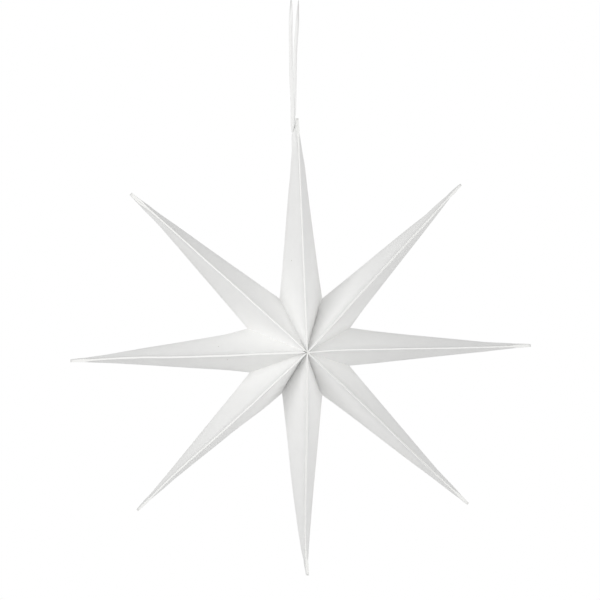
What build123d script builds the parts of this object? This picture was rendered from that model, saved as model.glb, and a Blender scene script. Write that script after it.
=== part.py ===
from build123d import *
import os
from math import asin, atan2, cos, hypot, radians, sin, sqrt, tan

# A hanging paper star: eight long points of folded card round a hub axis along Y,
# hung by its top point on a doubled ribbon loop. The front faces -Y and +Z is up.
# The origin is the top of the hook, inside the bight of the ribbon loop.

# Star, all in millimetres
tip_radius = 225.0       # hub axis to the blunt end of a point
notch_radius = 52.0      # hub axis to the notch between two points, before its own shift
hub_half_depth = 58.0    # middle plane to the ridge lines at the hub, front and back
card = 0.5               # thickness of the folded card
seam = 3.0               # how far the glued seams stand proud of the ridges
pressed_tip = 26.0       # length at the end of a point where the card is pressed solid
press_width = 6.4        # breadth of a point where the pressed end starts
flat_tip = 16.0          # length at the very end where the pressed card is a flat strip
flat_width = 4.0         # breadth of that strip where it starts
tip_width = 2.4          # breadth of that strip at the blunt end
tip_round = 3.5          # corner radius of the blunt end, seen from the side
hub_clearance = 0.3      # room left between the seams where they meet at the hub

# The points go round counterclockwise, seen from the front. Each was glued by hand,
# so it leans a little from an even spacing (degrees, counterclockwise).
point_lean = {
    "right": -0.7,
    "upper_right": -0.6,
    "top": 0.0,
    "upper_left": 1.9,
    "left": 1.7,
    "lower_left": -1.4,
    "bottom": 0.9,
    "lower_right": 1.5,
}
# Each web is named for the point before it. It leans from the middle between its two points
# (degrees, counterclockwise), and its notch lies a little further out or in (millimetres).
web_lean = {
    "right": -1.1,
    "upper_right": -2.0,
    "top": -1.5,
    "upper_left": -0.6,
    "left": 1.9,
    "lower_left": -0.2,
    "bottom": 0.5,
    "lower_right": 1.1,
}
notch_shift = {
    "right": 1.1,
    "upper_right": 1.3,
    "top": 1.0,
    "upper_left": 3.7,
    "left": 3.3,
    "lower_left": -4.0,
    "bottom": -0.6,
    "lower_right": -0.3,
}
closing_point = "lower_left"   # its left web is taped to the next point when the star is opened

# Tape that closes the ring of points
tape_thickness = 0.2
tape_width = 12.0
tape_inset = 8.0         # hub axis to the tape's near edge
tape_margin = 5.7        # tape's corners to the edges of the web, front and back

# Ribbon
ribbon_width = 3.6
ribbon_thickness = 0.4
ply_gap = 0.2            # air between the two plies where they run together
hook_radius = 3.5        # half the thickness of the hook that the loop hangs on
hang_drop = 132.0        # top of the hook to the blunt end of the top point
twist_height = 6.0       # blunt end of the top point to where the plies part
ribbon_overrun = 1.0     # extra ribbon swept past the level where the plies part, then cut square
hole_from_tip = 13.0     # blunt end of the top point to the centre of the punched hole
hole_clearance = 0.5     # ribbon's edges to the rim of the punched hole
ribbon_clearance = 0.4   # ribbon to the outside of the card at the hole
ribbon_bend_radius = 2.0
knot_lap = 0.3           # how far the knot reaches past the rim of the hole all round
knot_rim = 0.1           # flat ends of the knot, past the corners of the ribbon
knot_play = 0.1          # knot to the card that is pressed round it

# Derived places
point_names = list(point_lean)
spacing = 360 / len(point_names)
point_angle = {name: spacing * i + point_lean[name] for i, name in enumerate(point_names)}
hub = Vector(0, 0, -hang_drop - tip_radius)
press_start = tip_radius - pressed_tip
flat_start = tip_radius - flat_tip
notch_along = notch_radius * cos(radians(spacing / 2))
notch_across = notch_radius * sin(radians(spacing / 2))
# The flat panels would meet here, beyond the blunt end
panel_apex = press_start + press_width / 2 * (press_start - notch_along) / (notch_across - press_width / 2)
ridge_slope = sqrt(1 / panel_apex**2 + 1 / hub_half_depth**2)
outline_level = 1 + seam * ridge_slope


def neighbour(name, step):
    """The point one step round from a point."""
    return point_names[(point_names.index(name) + step) % len(point_names)]


def web_beside(name, side):
    """The web on the left (1) or the right (-1) side of a point."""
    return name if side == 1 else neighbour(name, -1)


def web_angle(web):
    """Direction of a web, in degrees."""
    gap = (point_angle[neighbour(web, 1)] - point_angle[web]) % 360
    return point_angle[web] + gap / 2 + web_lean[web]


def half_angle(name, side):
    """Angle, in radians, from the middle plane of a point to its web on one side."""
    turn = (web_angle(web_beside(name, side)) - point_angle[name]) * side
    return radians(turn % 360)


def notch_reach(web):
    """Hub axis to the notch at the outer corner of a web."""
    return notch_radius + notch_shift[web]


def panel_reach(name, side):
    """Where the plane of a front panel would cut the across axis of its point."""
    angle = half_angle(name, side)
    notch = notch_reach(web_beside(name, side))
    return notch * sin(angle) / (1 - notch * cos(angle) / panel_apex)


def panel_slope(name, side):
    """Change of the panel's plane value for each millimetre square to the panel."""
    return sqrt(ridge_slope**2 + 1 / panel_reach(name, side) ** 2)


def half_pocket(name, side, skin, web_inset, floor):
    """One half of a point as a solid wedge: along X, depth Y, across Z.

    The panels are moved in by skin and the web by web_inset, and the wedge starts at floor.
    """
    angle = half_angle(name, side)
    reach = panel_reach(name, side)
    level = 1 - skin * panel_slope(name, side)
    floor_level = level - floor / reach
    web_shift = web_inset / sin(angle)
    web_start = floor / tan(angle) + web_shift
    hub_depth = hub_half_depth * (floor_level - web_start / panel_apex)
    notch_run = 1 / (panel_apex * tan(angle)) + 1 / reach
    notch_z = (level - web_shift / panel_apex) / notch_run
    notch_x = notch_z / tan(angle) + web_shift
    return ConvexPolyhedron(
        [
            (panel_apex * floor_level, 0, side * floor),
            (web_start, -hub_depth, side * floor),
            (web_start, hub_depth, side * floor),
            (notch_x, 0, side * notch_z),
        ]
    )


def outline_depth(along):
    """Middle plane to the edge of the die-cut outline, so far along a point."""
    return hub_half_depth * (outline_level - along / panel_apex)


def flat_corners(along, breadth, side):
    """Four corners of one half of the flat strip, so far along a point."""
    depth = outline_depth(along)
    return [(along, y, z) for y in (-depth, depth) for z in (0, side * breadth / 2)]


def pressed_end(name, side):
    """Solid end of half a point, where the pocket's section turns into the flat strip."""
    share = 1 - press_start / panel_apex
    ridge = hub_half_depth * share
    crease = panel_reach(name, side) * share
    pocket_corners = [(press_start, -ridge, 0), (press_start, ridge, 0), (press_start, 0, side * crease)]
    flat = flat_corners(flat_start, flat_width, side)
    turning = ConvexPolyhedron(pocket_corners + flat)
    return turning + ConvexPolyhedron(flat + flat_corners(tip_radius, tip_width, side))


def point_outline():
    """Die-cut outline of a flattened point, seen from its side, with a rounded blunt end."""
    hub_reach = outline_depth(0)
    end_reach = outline_depth(tip_radius)
    corners = [(0, hub_reach), (tip_radius, end_reach), (tip_radius, -end_reach), (0, -hub_reach)]
    outline = make_face(Polyline(*corners, close=True))
    # The two rounded corners share the blunt end, so each has less than half of it
    corner_half_angle = (radians(90) + atan2(hub_half_depth, panel_apex)) / 2
    largest_round = 0.95 * end_reach * tan(corner_half_angle)
    return fillet(outline.vertices().sort_by(Axis.X)[-2:], min(tip_round, largest_round))


def half_sheet(name, side):
    """One folded half of a point: front panel, back panel, glue web and seam strips."""
    angle = half_angle(name, side)
    taped = web_beside(name, side) == closing_point
    web_inset = tape_thickness / 2 if taped else 0
    outer = half_pocket(name, side, 0, web_inset, 0)
    inner = half_pocket(name, side, card, web_inset + card, -card)
    open_end = Plane((press_start, 0, 0), z_dir=(1, 0, 0))
    shell = outer - split(inner, bisect_by=open_end, keep=Keep.BOTTOM)
    # The seam strip reaches inwards to the middle of the panel's thickness
    strip_level = 1 - card * (panel_slope(name, side) + 1 / panel_reach(name, side)) / 2
    inside = make_face(
        Polyline(
            (0, hub_half_depth * strip_level),
            (panel_apex * strip_level, 0),
            (0, -hub_half_depth * strip_level),
            close=True,
        )
    )
    outline = point_outline()
    strip = extrude(outline - inside, amount=side * card)
    sheet = (shell + strip + pressed_end(name, side)) & extrude(outline, amount=side * notch_radius)
    hub_gap = card / sin(angle) + hub_clearance
    sheet -= Cylinder(hub_gap, 4 * hub_half_depth, rotation=(90, 0, 0))
    turn = radians(point_angle[name])
    along = (cos(turn), 0, sin(turn))
    across = (-sin(turn), 0, cos(turn))
    return Plane(hub, x_dir=along, z_dir=across) * sheet


sheets = {}
for point in point_names:
    for side_name, side in (("left", 1), ("right", -1)):
        sheets[f"{point}_point_{side_name}_sheet"] = half_sheet(point, side)

# Hanging hole: punched through the left card of the top point, in its flat pressed end.
# The card is parted behind the hole, round the knot that stops the ribbon.
hole_z = hub.Z + tip_radius - hole_from_tip
hole_diameter = ribbon_width + 2 * hole_clearance
half_breadth = (tip_width + (flat_width - tip_width) * hole_from_tip / flat_tip) / 2
doubled = 2 * ribbon_thickness + ply_gap
knot_end = hypot(ribbon_width, doubled) / 2 + knot_rim
knot_radius = max(hole_diameter / 2, knot_end) + knot_lap
parted = half_breadth - card
knot_half = parted - knot_play
hole = Cylinder(hole_diameter / 2, 2 * half_breadth, rotation=(0, 90, 0))
pocket = Cylinder(knot_radius + knot_play, 2 * parted, rotation=(0, 90, 0))
sheets["top_point_left_sheet"] -= Pos(-half_breadth, 0, hole_z) * hole
for sheet in ("top_point_left_sheet", "top_point_right_sheet"):
    sheets[sheet] -= Pos(0, 0, hole_z) * pocket

# Closing tape: flat between the two webs where the opened ring of points is joined
closing_turn = radians(web_angle(closing_point))
web_along = (cos(closing_turn), 0, sin(closing_turn))
web_across = (-sin(closing_turn), 0, cos(closing_turn))
tape_far_edge = tape_inset + tape_width
tape_length = 2 * (hub_half_depth * (1 - tape_far_edge / notch_reach(closing_point)) - tape_margin)
tape_strip = Pos(tape_inset + tape_width / 2, 0, 0) * Box(tape_width, tape_length, tape_thickness)
closing_tape = Plane(hub, x_dir=web_along, z_dir=web_across) * tape_strip

# Ribbon tail: both plies together, out of the hole and up beside the blunt end
hook_centre = Vector(0, -hook_radius)
knot_face = Vector(-knot_half, hole_z)
tail_corner = Vector(-half_breadth - ribbon_clearance - doubled / 2, hole_z)
split_z = -hang_drop + twist_height
taut_line = (hook_centre - tail_corner).normalized()
tail_top = tail_corner + taut_line * ((split_z - hole_z) / taut_line.Y)
tail_end = tail_top + taut_line * ribbon_overrun
bend_radius = min(ribbon_bend_radius, 0.8 * (knot_face - tail_corner).length)
tail_path = Plane.XZ * FilletPolyline(knot_face, tail_corner, tail_end, radius=bend_radius)
tail_start = Plane(tail_path @ 0, x_dir=(0, 1, 0), z_dir=tail_path % 0)
swept_tail = sweep(tail_start * Rectangle(ribbon_width, doubled), path=tail_path)
parting = Plane((0, 0, split_z))
ribbon_tail = split(swept_tail, bisect_by=parting, keep=Keep.BOTTOM)


def tangent_point(start, side):
    """Where a taut ply from start first touches the bight, on the left (1) or the right (-1)."""
    bight_radius = hook_radius + ribbon_thickness / 2
    to_hook = hook_centre - start
    turn = side * asin(bight_radius / to_hook.length)
    reach = sqrt(to_hook.length**2 - bight_radius**2)
    heading = to_hook.normalized()
    x = heading.X * cos(turn) - heading.Y * sin(turn)
    y = heading.X * sin(turn) + heading.Y * cos(turn)
    return start + Vector(x, y) * reach


# Ribbon loop: the two plies part above the tip, run taut to the hook and close over it
ply_offset = Vector((ribbon_thickness + ply_gap) / 2, 0)
left_foot = tail_top - ply_offset
right_foot = tail_top + ply_offset
left_touch = tangent_point(left_foot, 1)
right_touch = tangent_point(right_foot, -1)
left_end = left_foot + (left_foot - left_touch).normalized() * ribbon_overrun
right_end = right_foot + (right_foot - right_touch).normalized() * ribbon_overrun
left_run = Line(left_end, left_touch)
bight = ThreePointArc(left_touch, Vector(0, ribbon_thickness / 2), right_touch)
right_run = Line(right_touch, right_end)
loop_path = Plane.XZ * Wire([left_run, bight, right_run])
loop_start = Plane(loop_path @ 0, x_dir=(0, 1, 0), z_dir=loop_path % 0)
swept_loop = sweep(loop_start * Rectangle(ribbon_width, ribbon_thickness), path=loop_path)
ribbon_loop = split(swept_loop, bisect_by=parting, keep=Keep.TOP)

# Ribbon knot: a plump barrel between the cards of the top point, too wide for the hole
left_rim = (-knot_half, knot_end)
right_rim = (knot_half, knot_end)
barrel = Polyline(right_rim, (knot_half, 0), (-knot_half, 0), left_rim)
crown = ThreePointArc(left_rim, (0, knot_radius), right_rim)
ribbon_knot = Pos(0, 0, hole_z) * revolve(make_face([barrel, crown]), Axis.X)

pieces = dict(sheets)
pieces["closing_tape"] = closing_tape
pieces["ribbon_loop"] = ribbon_loop
pieces["ribbon_tail"] = ribbon_tail
pieces["ribbon_knot"] = ribbon_knot

os.makedirs("parts", exist_ok=True)
for node, shape in pieces.items():
    export_step(shape, f"parts/{node}.step")

print("bend radius at the hole", bend_radius, "over the hook", hook_radius + ribbon_thickness / 2)
print("loop volume", swept_loop.volume, "of", loop_path.length * ribbon_width * ribbon_thickness)
print("tail volume", swept_tail.volume, "of", tail_path.length * ribbon_width * doubled)
print("ribbon from hole to hole", loop_path.length + 2 * tail_path.length - 4 * ribbon_overrun)
print("twist axis x", tail_top.X, "hole z", hole_z, "corner x", tail_corner.X, "panel apex", panel_apex)
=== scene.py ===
import math

import bmesh
import bpy
from mathutils import Matrix, Vector


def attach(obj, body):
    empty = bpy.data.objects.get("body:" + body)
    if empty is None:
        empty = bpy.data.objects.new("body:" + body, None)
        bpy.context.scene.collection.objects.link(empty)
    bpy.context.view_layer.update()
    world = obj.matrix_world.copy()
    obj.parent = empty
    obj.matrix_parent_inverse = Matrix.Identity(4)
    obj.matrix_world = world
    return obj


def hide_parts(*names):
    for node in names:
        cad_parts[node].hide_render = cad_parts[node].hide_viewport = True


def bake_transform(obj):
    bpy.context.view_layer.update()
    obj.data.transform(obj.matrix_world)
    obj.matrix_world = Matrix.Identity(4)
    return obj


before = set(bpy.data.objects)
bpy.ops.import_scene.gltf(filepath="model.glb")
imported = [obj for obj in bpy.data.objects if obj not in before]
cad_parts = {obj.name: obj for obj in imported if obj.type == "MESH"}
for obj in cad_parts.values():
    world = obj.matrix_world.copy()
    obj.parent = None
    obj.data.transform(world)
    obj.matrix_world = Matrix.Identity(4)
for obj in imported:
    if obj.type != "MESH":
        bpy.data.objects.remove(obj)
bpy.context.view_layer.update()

# Half sheets of the points
# Each point of the star is a pocket of two half sheets of stiff white card, die-cut, creased and folded,
# glued along the front and back ridges, where the seams stand proud, and pressed flat at the blunt end.
MM = 0.001
HUB = Vector((0.0, 0.0, -357.0))    # middle of the star, plumb below the hook
TIP = 225.0             # hub axis to the blunt end of a point
CARD = 0.5              # thickness of the card
WEDGE_START = 1.25      # nearer to the hub axis than this, the card is nipped to a thin wedge
HUB_GAP = 0.25          # hub axis to where that wedge starts
RIDGE_HEIGHT = 58.0     # middle plane to the ridges at the hub
APEX = 227.93           # where the ridges would meet the middle plane, beyond the blunt end
SEAM_LEVEL = 1.0534     # outline of the seams, as a multiple of the ridge height and the apex
BLANK_DEPTH = 2.2 * RIDGE_HEIGHT    # depth of the strip of card that this outline is cut from
NOTCH_ALONG = 48.04     # notch of an even point, along it and across from its middle plane
NOTCH_ACROSS = 19.90
PRESS_START = 190.0     # the end is pressed from here on, and from the next place on it is a flat strip
FLAT_START = 213.0
PRESS_EASE = 20.0       # how far before the pressed end the panels start to close
FLAT_HALF = 1.9         # half the breadth of the strip where it starts and at the blunt end
TIP_HALF = 1.2
TIP_ROUND = 2.7         # how far from its corners the blunt end starts to round
FOLD_SOFTNESS = 0.45    # width of the burnished bend along the side folds
PANEL_BOW = 0.35        # how far a panel bellies out between its folds
BOW_RISE = 30.0         # how far beyond the web's fold the belly is full, and how far before the pressed
BOW_FALL = 60.0         # end it starts to fall
ON_CREASE = 0.05        # a corner nearer to a crease than this lies on it

# Angle of each point and of the web after it, counterclockwise from the right, and the reach of its notch
POINTS = {
    "right": (-0.7, 20.75, 53.1),
    "upper_right": (44.4, 65.2, 53.3),
    "top": (90.0, 111.95, 53.0),
    "upper_left": (136.9, 158.7, 55.7),
    "left": (181.7, 204.55, 55.3),
    "lower_left": (223.6, 247.05, 48.0),
    "bottom": (270.9, 294.2, 51.4),
    "lower_right": (316.5, 339.0, 51.7),
}
WEB_RISE = NOTCH_ACROSS / NOTCH_ALONG
PANEL_REACH = NOTCH_ACROSS / (1 - NOTCH_ALONG / APEX)   # how broad half a point would be at the hub
RIDGE_LEVEL = 1 - CARD / PANEL_REACH                    # where the ridges fold, counted like SEAM_LEVEL


def select_only(piece):
    """Makes a piece the only one selected, and the active one."""
    bpy.ops.object.select_all(action="DESELECT")
    bpy.context.view_layer.objects.active = piece
    piece.select_set(True)


def pick(kind, test):
    """In edit mode, selects the vertices, edges or faces that lie where the test says, in millimetres."""
    bpy.ops.mesh.select_mode(type=kind)
    bpy.ops.mesh.select_all(action="DESELECT")
    form = bmesh.from_edit_mesh(bpy.context.edit_object.data)
    if kind == "FACE":
        chosen = [face for face in form.faces if test(*(face.calc_center_median() / MM))]
    elif kind == "EDGE":
        chosen = [edge for edge in form.edges if all(test(*(end.co / MM)) for end in edge.verts)]
    else:
        chosen = [corner for corner in form.verts if test(*(corner.co / MM))]
    for part in chosen:
        part.select_set(True)
    form.select_flush_mode()
    bmesh.update_edit_mesh(bpy.context.edit_object.data)


def crease(place, normal, trim=False):
    """Cuts what is selected along a plane, and can trim off the side that the normal points to."""
    bpy.ops.mesh.bisect(
        plane_co=Vector(place) * MM,
        plane_no=Vector(normal).normalized(),
        clear_outer=trim,
        threshold=1e-6,
    )


def half_depth(level, along):
    """Middle plane to the ridges or to the outline of the seams, at a place along a point."""
    return RIDGE_HEIGHT * (level - along / APEX)


def smooth_step(start, end, value):
    """Rises smoothly from 0 at the start to 1 at the end."""
    share = min(max((value - start) / (end - start), 0.0), 1.0)
    return share * share * (3 - 2 * share)


# The die-cut blank lies flat. X runs out along the point, Y is its depth, with the front below zero, and Z is
# how high its outer face lies above the middle of the point.
bpy.ops.object.select_all(action="DESELECT")
bpy.ops.mesh.primitive_plane_add(size=MM, enter_editmode=True)
blank = bpy.context.object
blank.name = "half_sheet_blank"
bpy.ops.transform.resize(value=(TIP - WEDGE_START, BLANK_DEPTH, 1))
bpy.ops.transform.translate(value=Vector(((TIP + WEDGE_START) / 2, 0, CARD)) * MM)
for front in (1, -1):
    bpy.ops.mesh.select_all(action="SELECT")
    crease((APEX * SEAM_LEVEL, 0, 0), (1 / APEX, -front / RIDGE_HEIGHT, 0), trim=True)
pick("VERT", lambda out, deep, high: out > TIP - ON_CREASE)
bpy.ops.mesh.bevel(offset=TIP_ROUND * MM, segments=6, affect="VERTICES")
bpy.ops.mesh.select_all(action="SELECT")
crease((0, 0, 0), (0, 1, 0))
for front in (1, -1):
    pick("FACE", lambda out, deep, high: -deep * front > 0)
    crease((APEX * RIDGE_LEVEL, 0, 0), (1 / APEX, -front / RIDGE_HEIGHT, 0))
    pick("FACE", lambda out, deep, high: 0 < -deep * front < half_depth(RIDGE_LEVEL, out))
    crease((NOTCH_ALONG, 0, 0), (1 / NOTCH_ALONG, -front / RIDGE_HEIGHT, 0))

# Folded up along its creases: the notch rises most, and the edge at the hub only a little.
# At the hub the web's crease ends less than a tenth of a millimetre from the ridge's.
pick("VERT", lambda out, deep, high: abs(out - NOTCH_ALONG) < ON_CREASE and abs(deep) < ON_CREASE)
bpy.ops.transform.translate(value=(0, 0, (NOTCH_ACROSS - CARD) * MM))
web_edge = RIDGE_HEIGHT * (1 - WEDGE_START / NOTCH_ALONG) + ON_CREASE / 10
pick("VERT", lambda out, deep, high: out < WEDGE_START + ON_CREASE and abs(deep) < web_edge)
bpy.ops.transform.translate(value=(0, 0, (WEDGE_START * WEB_RISE - CARD) * MM))
pick("EDGE", lambda out, deep, high: out < WEDGE_START + ON_CREASE)
bpy.ops.mesh.extrude_edges_move(
    TRANSFORM_OT_translate={"value": ((HUB_GAP - WEDGE_START) * MM, 0, 0)}
)
bpy.ops.transform.resize(value=(1, 1, HUB_GAP / WEDGE_START), center_override=(0, 0, 0))

# Pressed into a flat strip at the end, which tapers to the blunt end
for along in (PRESS_START, FLAT_START):
    bpy.ops.mesh.select_all(action="SELECT")
    crease((along, 0, 0), (1, 0, 0))
pick("VERT", lambda out, deep, high: out > FLAT_START - ON_CREASE)
strip_start = Vector((FLAT_START, 0, FLAT_HALF)) * MM
bpy.ops.transform.resize(value=(1, 1, 0), center_override=strip_start)
taper = math.atan((FLAT_HALF - TIP_HALF) / (TIP - FLAT_START))
bpy.ops.transform.rotate(value=-taper, orient_axis="Y", center_override=strip_start)

# The bone folder leaves the side fold slightly round
fold_start = NOTCH_ALONG - ON_CREASE
fold_end = FLAT_START + ON_CREASE
pick("EDGE", lambda out, deep, high: fold_start < out < fold_end and abs(deep) < ON_CREASE)
bpy.ops.mesh.bevel(offset=FOLD_SOFTNESS * MM, segments=2, affect="EDGES")

# Finer cuts, so that the panels can belly and sway: straight across, in a fan from the apex and beside
# the web's fold
CUTS_ALONG = (3, 6, *range(12, 181, 12), 196, 202, 208, 217, 221)
CUTS_FROM_APEX = (0.2, 0.4, 0.6, 0.8)
CUTS_AT_WEB = (0.25, 0.5, 0.7, 0.85, 1.15, 1.3, 1.5)
for along in CUTS_ALONG:
    bpy.ops.mesh.select_all(action="SELECT")
    crease((along, 0, 0), (1, 0, 0))
for share in CUTS_FROM_APEX:
    for front in (1, -1):
        bpy.ops.mesh.select_all(action="SELECT")
        crease((APEX, 0, 0), (share / APEX, -front / RIDGE_HEIGHT, 0))
for share in CUTS_AT_WEB:
    for front in (1, -1):
        pick("FACE", lambda out, deep, high: -deep * front > 0)
        crease((NOTCH_ALONG * share, 0, 0), (1 / NOTCH_ALONG, -front / RIDGE_HEIGHT, 0))
bpy.ops.object.mode_set(mode="OBJECT")
for corner in blank.data.vertices:
    out, deep, _ = corner.co / MM
    ridge = half_depth(RIDGE_LEVEL, out)
    web_fold = NOTCH_ALONG * (1 - abs(deep) / RIDGE_HEIGHT)
    if ridge > 0 and abs(deep) < ridge and out > web_fold:
        across = abs(deep) / ridge
        along = smooth_step(web_fold, web_fold + BOW_RISE, out)
        along *= smooth_step(PRESS_START, PRESS_START - BOW_FALL, out)
        corner.co.z += PANEL_BOW * 4 * across * (1 - across) * along * MM

# Each point was glued by hand. At these places along it, it sways to the left, and its sides stand fuller
# than an even point's, by these millimetres.
PLACES = (50, 68, 104, 128, 152, 180, 200, 212, 225)
SWAY = {
    "right": (0, -0.6, -0.8, -0.7, -0.7, -0.8, -0.1, 0.1, 0.3),
    "upper_right": (0, 0.3, 0.1, 0.1, -0.1, -0.5, 0.1, 0.1, 0),
    "top": (0, 0.1, 0.3, 0.5, 0.6, 0.1, 0, 0, 0),
    "upper_left": (0, -0.2, -0.4, -0.5, -0.8, -0.9, -0.6, -0.5, -0.4),
    "left": (0, 0.6, 0.7, 0.6, 0.5, 0.7, 0.8, 0.8, 0.9),
    "lower_left": (0, 0.5, -0.1, 0, 0, 0.1, 0.4, 0.4, 0.4),
    "bottom": (0, -0.2, -0.9, -1.6, -1.8, -1.7, -1.3, -0.6, 0.4),
    "lower_right": (0, -0.1, -0.6, -1.1, -1.5, -1.7, -1.5, -1.4, -1.3),
}
FULLER = {
    "right": (0, -0.3, -0.5, -0.4, -0.3, -0.2, 0, 0, 0),
    "upper_right": (0, -0.5, -0.5, -0.4, -0.4, -0.7, 0, 0, 0),
    "top": (0, -0.1, 0.2, 0.5, 0.8, 1.0, 0.4, 0, 0),
    "upper_left": (0, -0.2, -0.3, -0.3, -0.3, -0.2, 0.2, 0.2, 0.2),
    "left": (0, -1.3, -1.1, -0.9, -0.7, -0.5, 0, 0, 0),
    "lower_left": (0, 0.2, -0.5, -0.5, -0.7, -0.7, -0.2, 0, 0),
    "bottom": (0, 0.1, 0.5, 0.8, 0.9, 0.9, 0.7, 0, 0),
    "lower_right": (0, -0.3, -0.3, -0.2, -0.2, -0.3, 0.2, 0.2, 0.2),
}
# Its ridges lean to the left of its middle by this much, at the same places
RIDGE_LEAN = {
    "right": (1.3, 1.6, 1.6, 1.1, 0.8, 0.9, 0.2, 0, 0),
    "upper_right": (0, 0.2, 0.5, 0.3, 0.5, 0.7, 0.4, 0, 0),
    "top": (0, -0.1, -0.3, -0.5, -0.6, -0.1, 0, 0, 0),
    "upper_left": (-0.9, -0.8, -0.7, -0.3, -0.3, -0.3, -0.3, 0, 0),
    "left": (0, 0, -0.2, -0.1, -1.0, -1.0, -0.6, 0, 0),
    "lower_left": (0, 0, 0.4, 0, -1.0, -1.1, -0.8, 0, 0),
    "bottom": (0, 0, 0, 0, -0.3, -0.6, -0.6, 0, 0),
    "lower_right": (0, 0, 0, -0.2, 0, 0, 0, 0, 0),
}
LEAN_FULL = 30.0        # how far from the hub axis the lean is full
LEAST_BREADTH = 3.0     # a narrower half of a point counts as this broad where it is made fuller, and
LEAST_DEPTH = 1.0       # a panel of less depth counts as this deep where its ridge leans
# Some points reach further from the hub axis than others, or less far, and three start further from it
REACH = {"right": 228.6, "lower_right": 227.8, "bottom": 224.2, "left": 225.6}
HUB_STOP = {"upper_left": 0.3, "left": 1.3, "lower_left": 0.8}
HUB_STOP_ENDS = 4.0     # how far from the hub axis that no longer counts
# The dried glue makes the seams thicker by a share of the card, and in three of them it leaves a gap
GLUE_BUILD = {"left": 0.7, "lower_left": 0.5, "upper_right": 0.65}
USUAL_GLUE = 0.35
SEAM_GAP = {"lower_right": 0.12, "upper_right": 0.08, "bottom": 0.08}
GLUE_STARTS = (2, 12)   # over this stretch from the hub axis, that sets in
# Thickness of one half of a point: a wedge at the hub, the card, and at the pressed end all its layers.
# By a share, that end is slimmer at two points and thicker at one, and its front and back rims are nipped.
LAYER_PLACES = (0, WEDGE_START, PRESS_START, FLAT_START, TIP)
LAYERS = (0, CARD, CARD, FLAT_HALF, TIP_HALF)
SLIMMER_END = {"upper_right": 0.25, "lower_left": 0.25, "upper_left": -0.2}
RIM_PLACES = (190, 203, 214)
RIM_NIP = (0, 0.5, 0.1)
# Beside three of the webs the panels roll into the valley, over this width, and the glue has let go a little
ROLLED = {
    ("upper_right", "left"): 10.0,
    ("top", "right"): 5.0,
    ("bottom", "right"): 10.0,
    ("lower_left", "left"): 5.0,
    ("lower_right", "right"): 11.0,
    ("bottom", "left"): 6.0,
}
ROLL_DEPTH = 4.6        # how much deeper such a valley is, and half the slit at its bottom
ROLL_SLIT = 0.06
ROLL_AT_NOTCH = 0.3     # share of the roll that is left at the notch itself, and how deep in that fades
ROLL_FADE = 12.0
ROLL_STARTS = (-4, 16)  # the roll grows over this stretch along the point
ROLL_OF_WEB = 0.9       # most of the web's breadth and of the depth there that a roll can take up
ROLL_OF_DEPTH = 0.6
# The ribbon keeps the left card of the top point open like a mouth: how far it stands out, at these
# places along the point, and how deep the mouth is there to each side of the middle
MOUTH_PLACES = (170, 188, 194, 200, 206, 209, 211, 215, 219.5, 225)
MOUTH_OPEN = (0, 0.9, 1.2, 2.1, 2.9, 3.0, 2.7, 1.4, 0.1, 0)
MOUTH_DEPTH = (20, 12, 10, 8, 7, 6.5, 6.5, 6.5, 6.5, 6.5)
MOUTH_SINGLE = 1.2      # where it stands out this far, it is a single card
MOUTH_FINER = 175.0     # from here on its card is cut finer, so that it can bend
HOLE_ALONG = 214.6      # the punched hole's middle, length and breadth
HOLE_LENGTH = 8.4
HOLE_BREADTH = 4.6
HOLE_SIDES = 20
HOLE_ROUND = 1.8        # how far out the cuts of its rim go, where 1 is the rim
HOLE_ANGLES = [math.tau * i / HOLE_SIDES for i in range(HOLE_SIDES)]
HOLE_CUTS = [(math.cos(angle), math.sin(angle)) for angle in HOLE_ANGLES]


def oval(along, depth):
    """Distance from the middle of the punched hole, where 1 is its rim, an oval of straight cuts."""
    across = Vector(((along - HOLE_ALONG) / (HOLE_LENGTH / 2), depth / (HOLE_BREADTH / 2)))
    return max(across.dot(Vector(cut)) for cut in HOLE_CUTS)


def punch_hole(sheet):
    """Punches the ribbon's hole, an oval because the card there bends up into the mouth."""
    select_only(sheet)
    bpy.ops.object.mode_set(mode="EDIT")
    pick("FACE", lambda out, deep, high: out > MOUTH_FINER)
    bpy.ops.mesh.subdivide(number_cuts=2)
    for along, depth in HOLE_CUTS:
        pick("FACE", lambda out, deep, high: oval(out, deep) < HOLE_ROUND)
        rim = (HOLE_ALONG + along * HOLE_LENGTH / 2, depth * HOLE_BREADTH / 2, 0)
        crease(rim, (along / HOLE_LENGTH, depth / HOLE_BREADTH, 0))
    pick("FACE", lambda out, deep, high: oval(out, deep) < 1)
    bpy.ops.mesh.delete(type="FACE")
    bpy.ops.object.mode_set(mode="OBJECT")


def between(places, values, place):
    """Value at a place along a point, on straight lines between the given places."""
    if place <= places[0]:
        return values[0]
    for i in range(len(places) - 1):
        if place <= places[i + 1]:
            share = (place - places[i]) / (places[i + 1] - places[i])
            return values[i] + share * (values[i + 1] - values[i])
    return values[-1]


def linear(colour):
    """An sRGB hex colour as linear red, green, blue and alpha."""
    parts = [int(colour[i:i + 2], 16) / 255 for i in (1, 3, 5)]
    return [part / 12.92 if part <= 0.04045 else ((part + 0.055) / 1.055) ** 2.4 for part in parts] + [1.0]


def node(owner, kind, settings=(), sockets=()):
    """Adds a node to a material or world, with its settings, and its sockets set or linked to outputs."""
    made = owner.node_tree.nodes.new(kind)
    for name, value in dict(settings).items():
        setattr(made, name, value)
    for name, value in dict(sockets).items():
        if isinstance(value, bpy.types.NodeSocket):
            owner.node_tree.links.new(value, made.inputs[name])
        else:
            made.inputs[name].default_value = value
    return made


def new_material(name):
    """A material without nodes."""
    material = bpy.data.materials.new(name)
    material.use_nodes = True
    material.node_tree.nodes.clear()
    return material


def set_surface(material, sockets):
    """Gives a material its surface, with these sockets of the shader set or linked."""
    surface = node(material, "ShaderNodeBsdfPrincipled", (), sockets)
    node(material, "ShaderNodeOutputMaterial", (), {"Surface": surface.outputs["BSDF"]})


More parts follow.
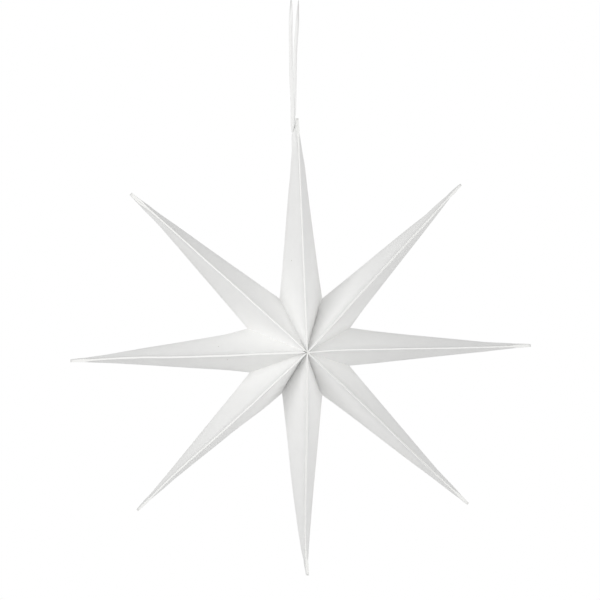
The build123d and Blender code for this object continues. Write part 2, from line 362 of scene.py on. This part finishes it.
# Three specks of dirt in the card, on the left and the top point
SPECKS = [(-82.3, -20.5, -352.3), (-74.5, -28.6, -364.5), (-9.2, -15.9, -270.2)]

# Uncoated white card, matt, with cloudy formation from the pulp and a faint tooth of pressed fibres.
# The tooth is drawn at 1.2 mm and the clouds at 14 mm, coarser than real fibres, so that they show.
card = new_material("uncoated_white_card")
position = node(card, "ShaderNodeTexCoord").outputs["Object"]
clouds = node(card, "ShaderNodeTexNoise", (), {
    "Vector": position,
    "Scale": 1 / 0.014,
    "Detail": 4.0,
    "Roughness": 0.6,
})
tooth = node(card, "ShaderNodeTexNoise", (), {
    "Vector": position,
    "Scale": 1 / 0.0012,
    "Detail": 3.0,
    "Roughness": 0.65,
})
card_tone_and_shade = node(card, "ShaderNodeMix", {"data_type": "RGBA"}, {
    "Factor": clouds.outputs["Fac"],
    "A": linear("#f3f3f2"),
    "B": linear("#fafaf9"),
})
nearest = None
for speck in SPECKS:
    away = node(card, "ShaderNodeVectorMath", {"operation": "DISTANCE"}, {
        0: position,
        1: Vector(speck) * MM,
    })
    if nearest:
        away = node(card, "ShaderNodeMath", {"operation": "MINIMUM"}, {
            0: nearest,
            1: away.outputs["Value"],
        })
    nearest = away.outputs["Value"]
on_speck = node(card, "ShaderNodeMapRange", (), {
    "Value": nearest,
    "From Min": 0.3 * MM,
    "From Max": 0.7 * MM,
    "To Min": 0.8,
    "To Max": 0.0,
})
card_tone_and_shade = node(card, "ShaderNodeMix", {"data_type": "RGBA"}, {
    "Factor": on_speck.outputs["Result"],
    "A": card_tone_and_shade.outputs["Result"],
    "B": linear("#b4afa6"),
})
dull = node(card, "ShaderNodeMapRange", (), {
    "Value": tooth.outputs["Fac"],
    "To Min": 0.78,
    "To Max": 0.92,
})
relief = node(card, "ShaderNodeBump", (), {
    "Height": tooth.outputs["Fac"],
    "Strength": 0.12,
    "Distance": 0.06 * MM,
})
set_surface(card, {
    "Base Color": card_tone_and_shade.outputs["Result"],
    "Roughness": dull.outputs["Result"],
    "IOR": 1.46,
    "Specular IOR Level": 0.3,
    "Normal": relief.outputs["Normal"],
})

# Its cut edges are rougher than its faces, with a speckle of loose fibres at the ridges. They are a little
# greyer, partly for their fibres and glue and partly as painted shade for the line between the two glued
# layers, and at the pressed ends they are an even grey of painted shade that darkens the strips facing the
# front
cut_edge = new_material("cut_card_edge")
position = node(cut_edge, "ShaderNodeTexCoord").outputs["Object"]
fibres = node(cut_edge, "ShaderNodeTexNoise", (), {"Vector": position, "Scale": 1 / 0.0012, "Detail": 3.0})
# the edges' greys: partly the fibres and glue of the cut card, partly painted shade between the glued layers
card_tone_and_shade = node(cut_edge, "ShaderNodeMix", {"data_type": "RGBA"}, {
    "Factor": fibres.outputs["Fac"],
    "A": linear("#ececea"),
    "B": linear("#f4f4f2"),
})
from_hub = node(cut_edge, "ShaderNodeVectorMath", {"operation": "DISTANCE"}, {0: position, 1: HUB * MM})
# painted shade: over the pressed end the cut edges fade to an even grey
pressed_end_shade = node(cut_edge, "ShaderNodeMapRange", (), {
    "Value": from_hub.outputs["Value"],
    "From Min": PRESS_START * MM,
    "From Max": FLAT_START * MM,
})
# mixes in the painted shade of the pressed ends
card_tone_and_shade = node(cut_edge, "ShaderNodeMix", {"data_type": "RGBA"}, {
    "Factor": pressed_end_shade.outputs["Result"],
    "A": card_tone_and_shade.outputs["Result"],
    "B": linear("#ededeb"),
})
set_surface(cut_edge, {
    "Base Color": card_tone_and_shade.outputs["Result"],
    "Roughness": 0.95,
    "Specular IOR Level": 0.1,
})

# The left and the right half sheet of each point, bent to its own shape and turned to its place
NAMES = list(POINTS)
for name in NAMES:
    lean, next_web, next_notch = POINTS[name]
    _, last_web, last_notch = POINTS[NAMES[NAMES.index(name) - 1]]
    turn = Matrix.Rotation(-math.radians(lean), 4, "Y")
    halves = (("left", next_web, next_notch, 1), ("right", last_web, last_notch, -1))
    for side, web, notch, hand in halves:
        half_angle = math.radians(((web - lean) * hand) % 360)
        wider = notch * math.sin(half_angle) / NOTCH_ACROSS
        longer = (notch * math.cos(half_angle) - NOTCH_ALONG) / NOTCH_ACROSS
        sheet = bpy.data.objects.new(f"card_{name}_{side}", blank.data.copy())
        bpy.context.scene.collection.objects.link(sheet)
        has_mouth = (name, side) == ("top", "left")
        if has_mouth:
            punch_hole(sheet)
        layers = sheet.vertex_groups.new(name="layers")
        for corner in sheet.data.vertices:
            out, deep, high = corner.co / MM
            ridge = half_depth(RIDGE_LEVEL, out)
            on_seam = abs(deep) > ridge - ON_CREASE
            pressed = smooth_step(PRESS_START - PRESS_EASE, FLAT_START, out)
            glue = smooth_step(*GLUE_STARTS, out) * (1 - pressed)
            stand_out = 0
            if has_mouth:
                open_share = max(1 - (deep / between(MOUTH_PLACES, MOUTH_DEPTH, out)) ** 2, 0) ** 2
                stand_out = open_share * between(MOUTH_PLACES, MOUTH_OPEN, out)

            # How thick it is
            thick = between(LAYER_PLACES, LAYERS, out)
            thick += (CARD - thick) * min(stand_out / MOUTH_SINGLE, 1)
            share = 1 - between(RIM_PLACES, RIM_NIP, out) * min(abs(deep) / half_depth(SEAM_LEVEL, out), 1)
            share *= 1 - SLIMMER_END.get(name, 0) * smooth_step(PRESS_START, FLAT_START, out)
            if on_seam:
                share *= 1 + GLUE_BUILD.get(name, USUAL_GLUE) * glue
            layers.add([corner.index], min(thick * share / FLAT_HALF, 1), "REPLACE")

            # How far its outer face is from the middle of the point, and how deep it lies
            high *= share
            depth = deep
            web_height = out * WEB_RISE
            panel_height = PANEL_REACH * (1 - out / APEX - abs(deep) / RIDGE_HEIGHT)
            roll = min(ROLLED.get((name, side), 0), ROLL_OF_WEB * web_height)
            if roll > 0:
                drawn_in = ROLL_AT_NOTCH + (1 - ROLL_AT_NOTCH) * smooth_step(0, ROLL_FADE, abs(deep))
                drawn_in *= max(1 - abs(web_height - panel_height) / roll, 0) ** 2
                drawn_in *= smooth_step(*ROLL_STARTS, out)
                high -= drawn_in * ROLL_SLIT
                depth -= math.copysign(min(drawn_in * ROLL_DEPTH, ROLL_OF_DEPTH * abs(deep)), deep)
            if on_seam:
                across = high + SEAM_GAP.get(name, 0) / 2 * glue + stand_out
            else:
                half_breadth = max(PANEL_REACH * (1 - out / APEX), LEAST_BREADTH)
                fuller = between(PLACES, FULLER[name], out) / half_breadth
                across = high * (wider + (1 - wider) * pressed) * (1 + fuller) + stand_out

            # How far it is from the hub axis, and how far to the left it sways and leans
            along = out + high * longer * (1 - pressed)
            along += (REACH.get(name, TIP) - TIP) * max(out - NOTCH_ALONG, 0) / (TIP - NOTCH_ALONG)
            along += HUB_STOP.get(name, 0) * (1 - smooth_step(0, HUB_STOP_ENDS, out))
            valley = RIDGE_HEIGHT * max(1 - out / NOTCH_ALONG, 0)
            at_ridge = min(max((abs(deep) - valley) / max(ridge - valley, LEAST_DEPTH), 0), 1)
            sway = between(PLACES, SWAY[name], out)
            sway += at_ridge * between(PLACES, RIDGE_LEAN[name], out) * smooth_step(0, LEAN_FULL, out)
            corner.co = turn @ (Vector((along, depth, hand * across + sway)) * MM) + HUB * MM
        if hand == -1:
            sheet.data.flip_normals()
        sheet.data.materials.append(card)
        sheet.data.materials.append(cut_edge)
        thicken = sheet.modifiers.new("card", "SOLIDIFY")
        thicken.thickness = FLAT_HALF * MM
        thicken.offset = -1
        thicken.vertex_group = "layers"
        thicken.material_offset_rim = 1
        select_only(sheet)
        bpy.ops.object.modifier_apply(modifier="card")
        bpy.ops.object.shade_smooth_by_angle(angle=math.radians(25))
        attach(sheet, "star")
        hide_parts(f"{name}_point_{side}_sheet")
bpy.data.objects.remove(blank)

# Closing tape
# A strip of tissue tape that holds the first and the last point together when the star is opened
# like a fan. It lies between their two webs, where it can hardly be seen.
tissue = new_material("double_sided_tissue_tape")
position = node(tissue, "ShaderNodeTexCoord").outputs["Object"]
strands = node(tissue, "ShaderNodeTexNoise", (), {"Vector": position, "Scale": 1 / 0.0015, "Detail": 5.0})
fibres = node(tissue, "ShaderNodeMix", {"data_type": "RGBA"}, {
    "Factor": strands.outputs["Fac"],
    "A": linear("#e6e3d6"),
    "B": linear("#f1efe6"),
})
set_surface(tissue, {
    "Base Color": fibres.outputs["Result"],
    "Roughness": 0.55,
})
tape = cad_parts["closing_tape"]
tape.data.materials.clear()
tape.data.materials.append(tissue)

# Ribbon
# A narrow white satin ribbon, doubled. Both plies come out of the punched hole at the end of the top point
# and rise close together, the left one in front. Higher up they part, and lie flat over a hook.
RIBBON_WIDTH = 3.6
RIBBON_THICKNESS = 0.36
RIBBON_CUP = 0.45       # how far the edges of a ply curl back, and how far both plies face to the right
RIBBON_TURN = math.radians(12)
CLOSE_HEIGHTS = (-76, -98)      # from the first to the second height, the plies come close together, and
CLOSE_LOSS = 0.75               # lose this share of their cup, and the left ply of its turn
TWIST_HEIGHTS = (-46, -8)       # from the first to the second, they twist to lie flat over the hook, and
UNCUP_HEIGHTS = (-30, -6)       # from the first to the second, they lose all of their cup
RIBBON_ROUTE = [
    (-1.7, 0.35, -147.5),
    (-1.7, 0.35, -145.2),
    (-3.9, -1.0, -147.5),
    (-4.7, -1.2, -139.0),
    (-4.3, -0.6, -126.0),
    (-4.5, -0.35, -112.0),
    (-5.2, 0.0, -95.0),
    (-5.1, 0.3, -68.0),
    (-4.9, 0.2, -42.0),
    (-4.6, 0.0, -25.0),
    (-3.9, 0.0, -9.0),
    (-3.75, 0.0, 0.2),
    (3.75, 0.0, 0.2),
    (3.7, 0.0, -9.0),
    (2.7, 0.0, -25.0),
    (1.5, -0.2, -42.0),
    (-1.0, -0.5, -68.0),
    (-1.5, 0.0, -95.0),
    (-2.3, 0.3, -113.0),
    (-2.5, 0.2, -125.0),
    (-4.5, -0.3, -136.0),
    (-3.4, -0.3, -148.0),
    (-1.7, -0.35, -145.2),
    (-1.7, -0.35, -147.5),
]
# Places across the ribbon in halves of its width, and how much thicker or thinner its selvedges are
ACROSS = [-1, -0.94, -0.8, -0.55, -0.28, 0, 0.28, 0.55, 0.8, 0.94, 1]
SELVEDGE = {0.8: 1.25, 0.94: 1.25, 1: 0.5}

line = bpy.data.curves.new("ribbon_line", "CURVE")
line.dimensions = "3D"
spline = line.splines.new("NURBS")
spline.points.add(len(RIBBON_ROUTE) - 1)
for point, place in zip(spline.points, RIBBON_ROUTE):
    point.co = (*(Vector(place) * MM), 1)
spline.order_u = 3
spline.use_endpoint_u = True
spline.resolution_u = 10
line_object = bpy.data.objects.new("ribbon_line", line)
bpy.context.scene.collection.objects.link(line_object)
bpy.context.view_layer.update()
line_mesh = bpy.data.meshes.new_from_object(line_object)
path = [corner.co.copy() for corner in line_mesh.vertices]
bpy.data.objects.remove(line_object)
bpy.data.meshes.remove(line_mesh)

corners, faces, weave_places = [], [], []
run = 0.0
for i, centre in enumerate(path):
    tangent = (path[min(i + 1, len(path) - 1)] - path[max(i - 1, 0)]).normalized()
    level = Vector((0, 1, 0))
    level = (level - tangent * level.dot(tangent)).normalized()
    outward = tangent.cross(level)
    height = centre.z / MM
    flatter = 1 - CLOSE_LOSS * smooth_step(*CLOSE_HEIGHTS, height)
    turned = math.pi / 2 + RIBBON_TURN * (flatter if tangent.z > 0 else -1)
    turned *= 1 - smooth_step(*TWIST_HEIGHTS, height)
    breadth = level * math.cos(turned) + outward * math.sin(turned)
    facing = tangent.cross(breadth)
    run += (centre - path[max(i - 1, 0)]).length
    cup = RIBBON_CUP * flatter * (1 - smooth_step(*UNCUP_HEIGHTS, height))
    for face_side in (1, -1):
        for share in ACROSS[::face_side]:
            lift = face_side * RIBBON_THICKNESS / 2 * SELVEDGE.get(abs(share), 1.0) - cup * share * share
            offset = share * RIBBON_WIDTH / 2 * MM
            corners.append(centre + breadth * offset + facing * (lift * MM))
            weave_places.append((offset, run))
ring = 2 * len(ACROSS)
for i in range(len(path) - 1):
    for j in range(ring):
        this = i * ring + j
        following = i * ring + (j + 1) % ring
        faces.append((this, following, following + ring, this + ring))
faces.append(tuple(range(ring))[::-1])
faces.append(tuple(range((len(path) - 1) * ring, len(path) * ring)))
ribbon_mesh = bpy.data.meshes.new("satin_ribbon")
ribbon_mesh.from_pydata(corners, [], faces)
weave_map = ribbon_mesh.uv_layers.new(name="weave")
for loop in ribbon_mesh.loops:
    weave_map.data[loop.index].uv = weave_places[loop.vertex_index]
ribbon = bpy.data.objects.new("satin_ribbon", ribbon_mesh)
bpy.context.scene.collection.objects.link(ribbon)
select_only(ribbon)
bpy.ops.object.mode_set(mode="EDIT")
bpy.ops.mesh.select_all(action="SELECT")
bpy.ops.mesh.normals_make_consistent(inside=False)
bpy.ops.object.mode_set(mode="OBJECT")
bpy.ops.object.shade_smooth_by_angle(angle=math.radians(40))

# White satin-woven polyester: long floats along the run give it a soft sheen and faint lengthwise streaks.
# The streaks are drawn 0.35 mm wide, several threads together, so that they show.
satin = new_material("woven_satin_ribbon")
weave = node(satin, "ShaderNodeUVMap", {"uv_map": "weave"}).outputs["UV"]
drawn_out = node(satin, "ShaderNodeMapping", (), {"Vector": weave, "Scale": (1 / 0.00035, 1 / 0.02, 1)})
floats = node(satin, "ShaderNodeTexNoise", (), {
    "Vector": drawn_out.outputs["Vector"],
    "Scale": 1.0,
    "Detail": 2.0,
})
threads = node(satin, "ShaderNodeMix", {"data_type": "RGBA"}, {
    "Factor": floats.outputs["Fac"],
    "A": linear("#e5e5e4"),
    "B": linear("#eeeeed"),
})
sheen_map = node(satin, "ShaderNodeMapRange", (), {
    "Value": floats.outputs["Fac"],
    "To Min": 0.55,
    "To Max": 0.42,
})
set_surface(satin, {
    "Base Color": threads.outputs["Result"],
    "Roughness": sheen_map.outputs["Result"],
    "IOR": 1.5,
    "Specular IOR Level": 0.35,
    "Anisotropic": 0.5,
})
ribbon.data.materials.append(satin)
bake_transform(ribbon)
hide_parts("ribbon_loop", "ribbon_tail")

# Ribbon knot
# The two ends of the ribbon, tied together in an overhand knot behind the punched hole and pulled tight
# at its lower rim, between the cards, where it hardly shows.
KNOT_AT = Vector((-2.0, 0.0, -147.4))
KNOT_SIZE = 0.50        # a third of the reach of the knot's middle line
KNOT_STRAND = 0.66      # half the thickness of the gathered ribbon in it
KNOT_STEPS = 48
knot_line = bpy.data.curves.new("ribbon_knot", "CURVE")
knot_line.dimensions = "3D"
knot_line.bevel_depth = KNOT_STRAND * MM
knot_line.bevel_resolution = 4
strand = knot_line.splines.new("POLY")
strand.points.add(KNOT_STEPS - 1)
strand.use_cyclic_u = True
for i, point in enumerate(strand.points):
    angle = 2 * math.pi * i / KNOT_STEPS
    bend = Vector((
        -math.sin(3 * angle),
        math.sin(angle) + 2 * math.sin(2 * angle),
        math.cos(angle) - 2 * math.cos(2 * angle),
    ))
    point.co = (*((KNOT_AT + bend * KNOT_SIZE) * MM), 1)
knot = bpy.data.objects.new("satin_ribbon_knot", knot_line)
bpy.context.scene.collection.objects.link(knot)
select_only(knot)
bpy.ops.object.convert(target="MESH")
bpy.ops.object.shade_smooth()
knot = bpy.context.object
knot.data.materials.append(satin)
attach(knot, "hitch")
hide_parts("ribbon_knot")

# Floor, light and camera
# A plain pale studio: a round white floor well below the star, a key light at the left, fills at the right,
# in front and behind, and a white backdrop all round.
FLOOR_RADIUS = 1.2
FLOOR_HEIGHT = -2.0
floor_paint = new_material("matt_white_floor")
set_surface(floor_paint, {"Base Color": linear("#f0f0f0"), "Roughness": 0.9})
bpy.ops.object.select_all(action="DESELECT")
bpy.ops.mesh.primitive_circle_add(
    vertices=96, radius=FLOOR_RADIUS, fill_type="NGON", location=(0, 0, FLOOR_HEIGHT)
)
floor = bpy.context.object
floor.name = "floor"
floor.data.materials.append(floor_paint)

# The backdrop is plain white where it is seen or mirrored, and dimmer as a light
world = bpy.data.worlds.new("studio")
bpy.context.scene.world = world
world.use_nodes = True
world.node_tree.nodes.clear()
rays = node(world, "ShaderNodeLightPath")
seen = rays.outputs["Is Camera Ray"]
for other in ("Is Glossy Ray", "Is Transmission Ray"):
    larger = node(world, "ShaderNodeMath", {"operation": "MAXIMUM"}, {0: seen, 1: rays.outputs[other]})
    seen = larger.outputs["Value"]
white = node(world, "ShaderNodeBackground", (), {"Color": (1, 1, 1, 1), "Strength": 1.0})
sky = node(world, "ShaderNodeBackground", (), {"Color": (1, 1, 1, 1), "Strength": 0.4})
backdrop = node(world, "ShaderNodeMixShader", (), {
    "Fac": seen,
    1: sky.outputs["Background"],
    2: white.outputs["Background"],
})
node(world, "ShaderNodeOutputWorld", (), {"Surface": backdrop.outputs["Shader"]})

for name, place, size, power in (
    ("key_light", (-1.78, -1.84, 0.12), 1.6, 30.7),
    ("front_fill", (0.09, -2.60, -0.36), 1.6, 3.4),
    ("upper_fill", (0.92, -2.25, 0.56), 1.6, 14.5),
    ("lower_fill", (1.59, -1.84, -1.28), 1.6, 13.4),
    ("back_fill", (0.2, 2.5, 0.0), 1.0, 20.0),
):
    lamp = bpy.data.lights.new(name, "AREA")
    lamp.size = size
    lamp.energy = power
    lamp_object = bpy.data.objects.new(name, lamp)
    lamp_object.location = place
    lamp_object.rotation_euler = (HUB * MM - Vector(place)).to_track_quat("-Z", "Y").to_euler()
    bpy.context.scene.collection.objects.link(lamp_object)

# The camera stands a little to the left of the star and above its hub, far off with a long lens
CAMERA_DISTANCE = 4.0
CAMERA_AZIMUTH = math.radians(-6.3)
CAMERA_HEIGHT = math.radians(4.2)
CAMERA_AIM = HUB * MM + Vector((0.00074, 0.0034, 0.0469))
CAMERA_ROLL = math.radians(-0.8)
camera_data = bpy.data.cameras.new("photograph")
camera_data.sensor_width = 36.0
camera_data.lens = 244.9
camera = bpy.data.objects.new("photograph", camera_data)
back = Vector((
    math.sin(CAMERA_AZIMUTH) * math.cos(CAMERA_HEIGHT),
    -math.cos(CAMERA_AZIMUTH) * math.cos(CAMERA_HEIGHT),
    math.sin(CAMERA_HEIGHT),
))
camera.location = HUB * MM + back * CAMERA_DISTANCE
look = (CAMERA_AIM - camera.location).to_track_quat("-Z", "Y").to_matrix()
camera.rotation_euler = (look @ Matrix.Rotation(CAMERA_ROLL, 3, "Z")).to_euler()
bpy.context.scene.collection.objects.link(camera)
bpy.context.scene.camera = camera
bpy.context.scene.view_settings.view_transform = "Standard"
